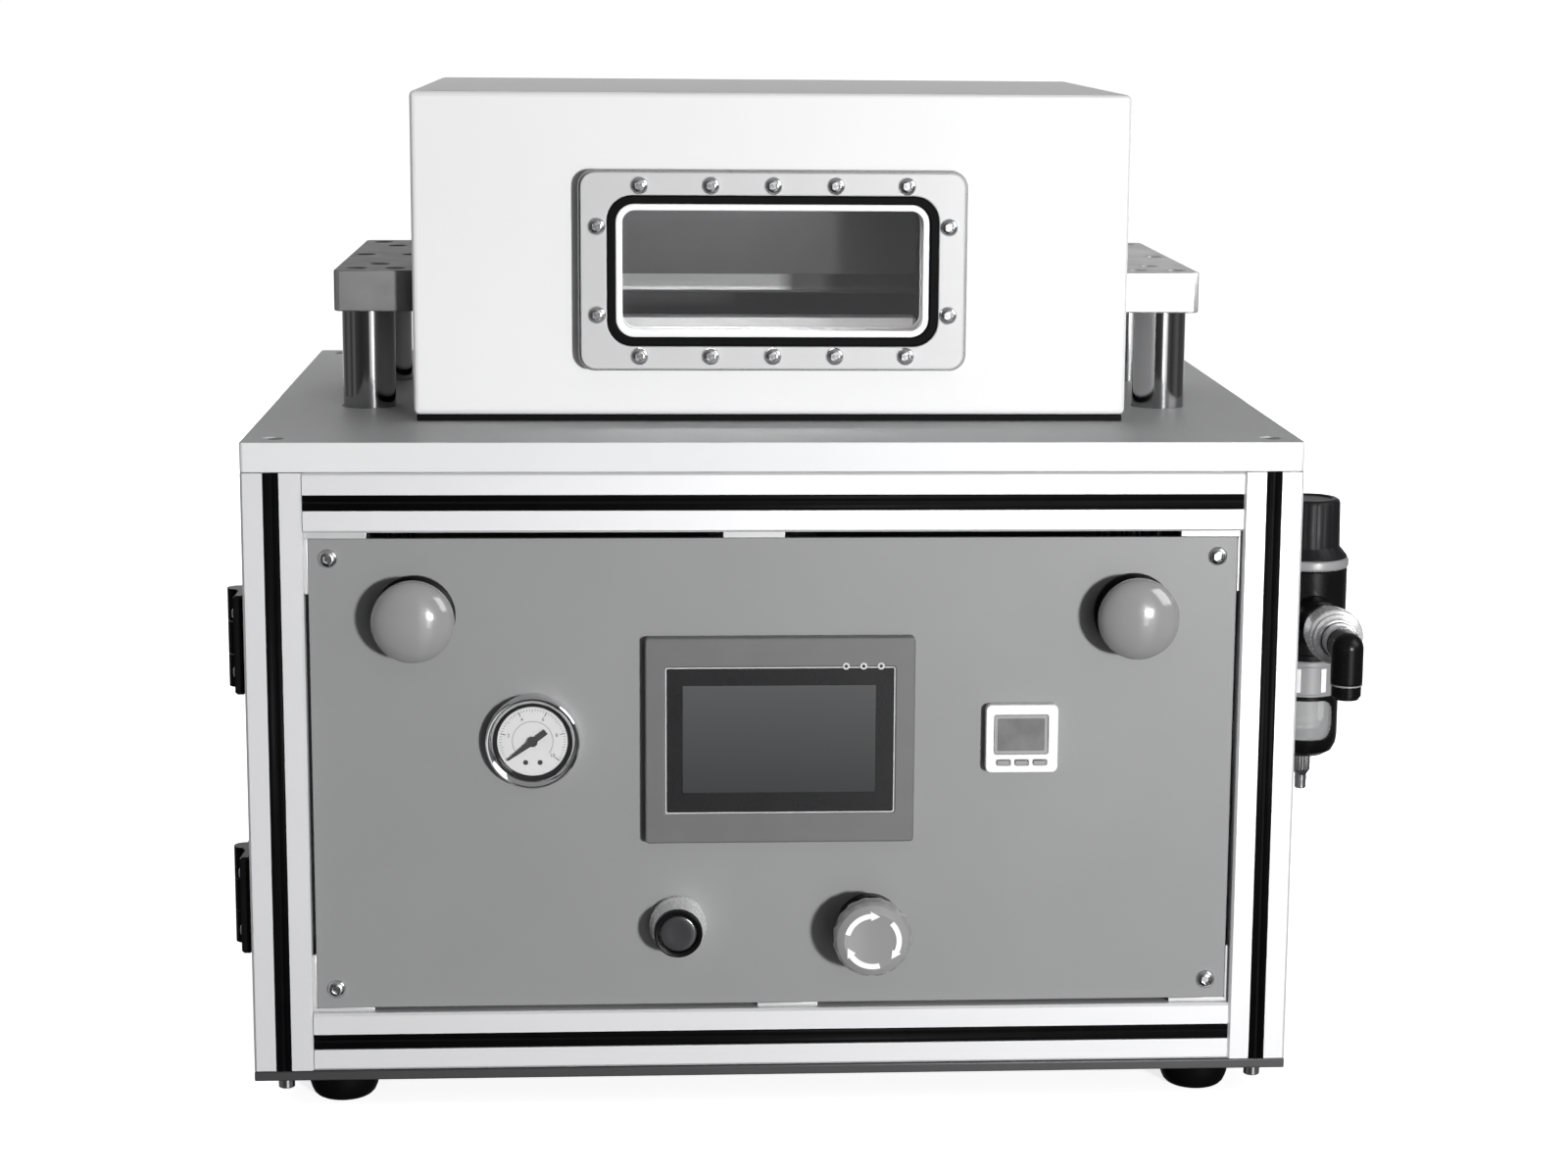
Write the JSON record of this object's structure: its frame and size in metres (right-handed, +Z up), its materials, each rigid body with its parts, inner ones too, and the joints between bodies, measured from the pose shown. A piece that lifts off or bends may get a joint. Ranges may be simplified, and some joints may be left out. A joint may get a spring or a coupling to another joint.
{
  "type": "laboratory glove box",
  "caption": "Bench-top vacuum chamber sealer for glove-box work: profile cabinet, control panel, and a windowed hood raised on chromed columns.",
  "frame": {"origin": "centre of the footprint, at the level of the feet's undersides", "axes": "+Z up; the operator stands on the -Y side and looks along +Y; +X to the operator's right"},
  "size_m": [0.6094, 0.426, 0.5133],
  "materials": {
    "profile": "clear anodised, satin",
    "bare_metal": "fine machined",
    "dark_metal": "dark satin",
    "chrome": "hard-chromed, polished",
    "white_paint": "white satin powder coat",
    "grey_paint": "mid-grey satin powder coat",
    "grey_plastic": "mid-grey, glossy",
    "dark_plastic": "dark grey, satin",
    "white_plastic": "white, satin",
    "black_plastic": "black, satin",
    "rubber": "black, matt",
    "clear": "clear acrylic or polycarbonate"
  },
  "bodies": {
    "cabinet": {"front_left_post": "profile", "front_right_post": "profile", "rear_left_post": "profile", "rear_right_post": "profile", "front_top_rail": "profile", "front_bottom_rail": "profile", "left_top_rail": "profile", "right_top_rail": "profile", "top_plate": "bare_metal", "base_plate": "dark_metal", "front_panel": "grey_paint", "right_panel": "grey_paint", "rear_panel": "grey_paint", "front_left_foot": "rubber", "front_right_foot": "rubber", "rear_left_foot": "rubber", "rear_right_foot": "rubber", "upper_hinge_post_leaf": "black_plastic", "lower_hinge_post_leaf": "black_plastic", "lift_cylinder": "profile", "lower_jaw": "bare_metal", "left_palm_collar": "black_plastic", "right_palm_collar": "black_plastic", "start_button_bezel": "chrome", "estop_collar": "black_plastic", "gauge_case": "chrome", "touch_screen": "dark_plastic", "pressure_switch": "white_plastic", "filter_regulator_body": "black_plastic"},
    "hood": {"hood_shell": "white_paint", "window_oring": "rubber", "window_pane": "clear", "hood_rim_seal": "rubber", "left_wing_plate": "bare_metal", "right_wing_plate": "bare_metal", "front_left_column": "chrome", "front_right_column": "chrome", "rear_left_column": "chrome", "rear_right_column": "chrome", "lift_crossbeam": "bare_metal", "lift_rod": "chrome", "jaw_cylinder": "dark_metal"},
    "upper_jaw": {"upper_jaw": "dark_metal"},
    "left_door": {"left_door": "grey_paint", "upper_hinge_door_leaf": "black_plastic", "lower_hinge_door_leaf": "black_plastic"},
    "left_palm_button": {"left_palm_button": "grey_plastic"},
    "right_palm_button": {"right_palm_button": "grey_plastic"},
    "start_button": {"start_button": "dark_plastic"},
    "estop_stem": {"estop_stem": "black_plastic"},
    "estop_button": {"estop_button": "grey_plastic"},
    "gauge_needle": {"gauge_needle": "black_plastic"},
    "left_switch_key": {"left_switch_key": "grey_plastic"},
    "middle_switch_key": {"middle_switch_key": "grey_plastic"},
    "right_switch_key": {"right_switch_key": "grey_plastic"},
    "regulator_knob": {"regulator_knob": "dark_plastic"},
    "filter_bowl": {"filter_bowl": "clear"},
    "drain_valve": {"drain_valve": "bare_metal"},
    "inlet_sleeve": {"inlet_sleeve": "bare_metal"},
    "elbow_fitting": {"elbow_fitting": "black_plastic"}
  },
  "joints": [
    {"name": "hood_lift", "type": "slide", "parent": "cabinet", "child": "hood", "axis": [0, 0, 1], "range_m": [0, 0.122]},
    {"name": "upper_jaw_press", "type": "slide", "parent": "hood", "child": "upper_jaw", "axis": [0, 0, -1], "range_m": [0, 0.013], "stiffness_N_per_m": 1500},
    {"name": "left_door_hinge", "type": "hinge", "parent": "cabinet", "child": "left_door", "pos_m": [-0.29905, -0.156, 0.1596], "axis": [0, 0, 1], "range_deg": [0, 110]},
    {"name": "left_palm_press", "type": "slide", "parent": "cabinet", "child": "left_palm_button", "axis": [0, 1, 0], "range_m": [0, 0.006], "stiffness_N_per_m": 1200},
    {"name": "right_palm_press", "type": "slide", "parent": "cabinet", "child": "right_palm_button", "axis": [0, 1, 0], "range_m": [0, 0.006], "stiffness_N_per_m": 1200},
    {"name": "start_button_press", "type": "slide", "parent": "cabinet", "child": "start_button", "axis": [0, 1, 0], "range_m": [0, 0.0035], "stiffness_N_per_m": 1000},
    {"name": "estop_push", "type": "slide", "parent": "cabinet", "child": "estop_stem", "axis": [0, 1, 0], "range_m": [0, 0.005]},
    {"name": "estop_twist", "type": "hinge", "parent": "estop_stem", "child": "estop_button", "pos_m": [0.01985, -0.199, 0.094], "axis": [0, 1, 0], "range_deg": [0, 45], "stiffness_Nm_per_rad": 0.08},
    {"name": "gauge_sweep", "type": "hinge", "parent": "cabinet", "child": "gauge_needle", "pos_m": [-0.15065, -0.1888, 0.19235], "axis": [0, 1, 0], "range_deg": [0, 252], "stiffness_Nm_per_rad": 0.0004},
    {"name": "left_key_press", "type": "slide", "parent": "cabinet", "child": "left_switch_key", "axis": [0, 1, 0], "range_m": [0, 0.0005], "stiffness_N_per_m": 900},
    {"name": "middle_key_press", "type": "slide", "parent": "cabinet", "child": "middle_switch_key", "axis": [0, 1, 0], "range_m": [0, 0.0005], "stiffness_N_per_m": 900},
    {"name": "right_key_press", "type": "slide", "parent": "cabinet", "child": "right_switch_key", "axis": [0, 1, 0], "range_m": [0, 0.0005], "stiffness_N_per_m": 900},
    {"name": "regulator_turn", "type": "hinge", "parent": "cabinet", "child": "regulator_knob", "pos_m": [0.28185, 0.003, 0.2516], "axis": [0, 0, 1], "continuous": true},
    {"name": "bowl_bayonet", "type": "hinge", "parent": "cabinet", "child": "filter_bowl", "pos_m": [0.28185, 0.003, 0.194], "axis": [0, 0, 1], "range_deg": [0, 45]},
    {"name": "drain_twist", "type": "hinge", "parent": "filter_bowl", "child": "drain_valve", "pos_m": [0.28185, 0.003, 0.1368], "axis": [0, 0, 1], "range_deg": [0, 90]},
    {"name": "inlet_sleeve_slide", "type": "slide", "parent": "cabinet", "child": "inlet_sleeve", "axis": [0, -1, 0], "range_m": [0, 0.008]},
    {"name": "elbow_swivel", "type": "hinge", "parent": "cabinet", "child": "elbow_fitting", "pos_m": [0.28185, -0.091, 0.22], "axis": [0, -1, 0], "continuous": true}
  ]
}
